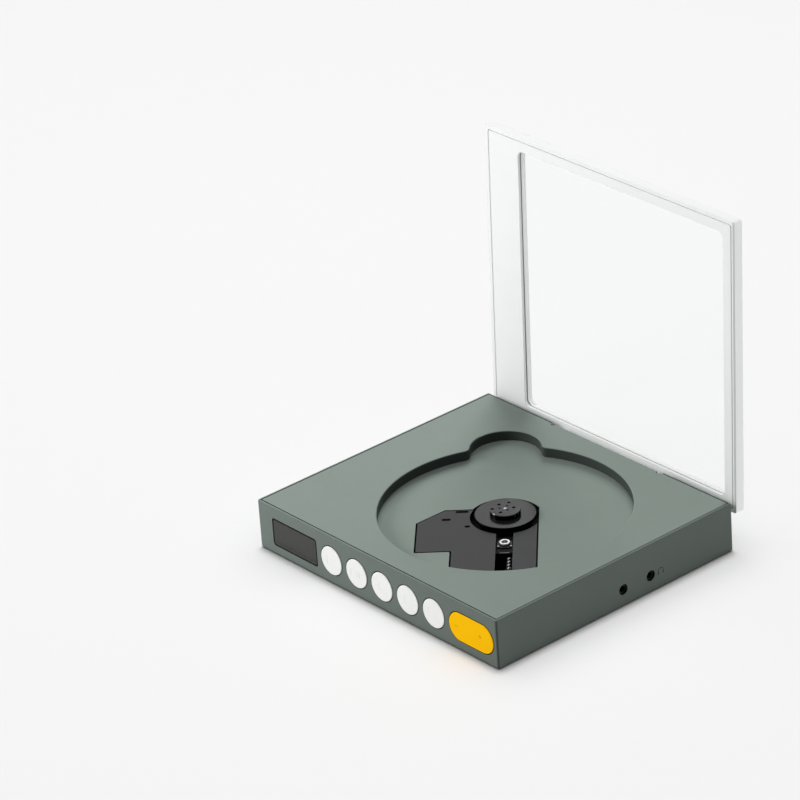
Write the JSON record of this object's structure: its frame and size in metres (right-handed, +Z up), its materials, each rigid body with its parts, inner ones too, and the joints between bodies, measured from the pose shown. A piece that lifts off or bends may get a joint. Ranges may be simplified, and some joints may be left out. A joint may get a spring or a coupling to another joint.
{
  "type": "disc player",
  "caption": "Flat square compact disc player with a hinged clear-window lid, round front keys, a rocker, a small display and two audio sockets.",
  "frame": {"origin": "centre of the base's footprint on the surface its feet stand on; the flat underside is 0.4 mm above it", "axes": "+Z up out of the disc deck, -Y the front with display and keys, +X the right side with the audio sockets; the lid is hinged along X at the back and stands open at rest"},
  "size_m": [0.1714, 0.1642, 0.1697],
  "materials": {
    "body_paint": "satin sage green paint",
    "cover_plastic": "fine texture",
    "foot_rubber": "matt",
    "screw_steel": "plated",
    "display_glass": "dark gloss",
    "circuit_board": "solder mask",
    "chip_black": "moulded",
    "button_white": "satin",
    "rocker_yellow": "satin",
    "carrier_plastic": "moulded",
    "steel": "bright",
    "mech_black": "satin black",
    "platter_black": "moulded",
    "socket_black": "moulded",
    "cell_wrap": "foil",
    "magnet": "nickel",
    "sled_plastic": "moulded",
    "lens_clear": "clear",
    "lid_white": "satin",
    "pane_clear": "clear acrylic"
  },
  "bodies": {
    "base": {"side_frame": "body_paint", "deck": "body_paint", "bottom_cover": "cover_plastic", "feet": "foot_rubber", "case_screws": "screw_steel", "board_screws": "screw_steel", "key_screws": "screw_steel", "display_window": "display_glass", "display_module": "circuit_board", "key_carrier": "carrier_plastic", "key_board": "circuit_board", "key_switches": "chip_black", "rocker_pin": "steel", "main_board": "circuit_board", "board_chips": "chip_black", "headphone_jack": "socket_black", "line_jack": "socket_black", "usb_socket": "steel", "charge_board": "circuit_board", "battery": "cell_wrap", "mech_cover_left": "mech_black", "mech_cover_right": "mech_black", "mech_chassis": "mech_black", "mech_dampers": "foot_rubber", "mech_screws": "screw_steel", "spindle_stator": "steel", "guide_rods": "steel", "feed_motor": "steel", "hinge_pins": "steel", "latch_magnets": "magnet"},
    "lid": {"lid_shell": "lid_white", "lid_frame": "lid_white", "lid_pane": "pane_clear", "lid_magnets": "magnet"},
    "rotor": {"turntable": "platter_black", "spindle_shaft": "steel", "clamp_balls": "steel", "clamp_springs": "steel"},
    "sled": {"pickup_sled": "sled_plastic", "lens_magnets": "magnet"},
    "lens": {"lens_holder": "sled_plastic", "pickup_lens": "lens_clear"},
    "screw": {"feed_screw": "steel"},
    "rocker": {"volume_rocker": "rocker_yellow"},
    "key_1": {"button_1": "button_white"},
    "key_2": {"button_2": "button_white"},
    "key_3": {"button_3": "button_white"},
    "key_4": {"button_4": "button_white"},
    "key_5": {"button_5": "button_white"}
  },
  "joints": [
    {"name": "lid_hinge", "type": "hinge", "parent": "base", "child": "lid", "pos_m": [0, 0.0733, 0.0211], "axis": [1, 0, 0], "range_deg": [0, 91.85]},
    {"name": "turntable_spin", "type": "hinge", "parent": "base", "child": "rotor", "pos_m": [0.0084, 0.0004, 0.0188], "axis": [0, 0, 1], "continuous": true},
    {"name": "sled_slide", "type": "slide", "parent": "base", "child": "sled", "axis": [0.7254, -0.6884, 0], "range_m": [-0.001, 0.034]},
    {"name": "feed_screw_spin", "type": "hinge", "parent": "base", "child": "screw", "pos_m": [0.00991, 0.002, 0.0148], "axis": [0.7254, -0.6884, 0], "range_deg": [-4090, 130]},
    {"name": "lens_focus", "type": "slide", "parent": "sled", "child": "lens", "axis": [0, 0, 1], "range_m": [-0.0004, 0.0004], "stiffness_N_per_m": 80},
    {"name": "volume_rock", "type": "hinge", "parent": "base", "child": "rocker", "pos_m": [0.0679, -0.072, 0.0127], "axis": [0, 0, 1], "range_deg": [-2, 2], "stiffness_Nm_per_rad": 0.6},
    {"name": "button_1_press", "type": "slide", "parent": "base", "child": "key_1", "axis": [0, 1, 0], "range_m": [0, 0.0006], "stiffness_N_per_m": 1500, "springref_m": -0.0003},
    {"name": "button_2_press", "type": "slide", "parent": "base", "child": "key_2", "axis": [0, 1, 0], "range_m": [0, 0.0006], "stiffness_N_per_m": 1500, "springref_m": -0.0003},
    {"name": "button_3_press", "type": "slide", "parent": "base", "child": "key_3", "axis": [0, 1, 0], "range_m": [0, 0.0006], "stiffness_N_per_m": 1500, "springref_m": -0.0003},
    {"name": "button_4_press", "type": "slide", "parent": "base", "child": "key_4", "axis": [0, 1, 0], "range_m": [0, 0.0006], "stiffness_N_per_m": 1500, "springref_m": -0.0003},
    {"name": "button_5_press", "type": "slide", "parent": "base", "child": "key_5", "axis": [0, 1, 0], "range_m": [0, 0.0006], "stiffness_N_per_m": 1500, "springref_m": -0.0003}
  ],
  "couplings": [
    {"joint": "feed_screw_spin", "follows": "sled_slide", "rad_per_m": -2094.4}
  ]
}
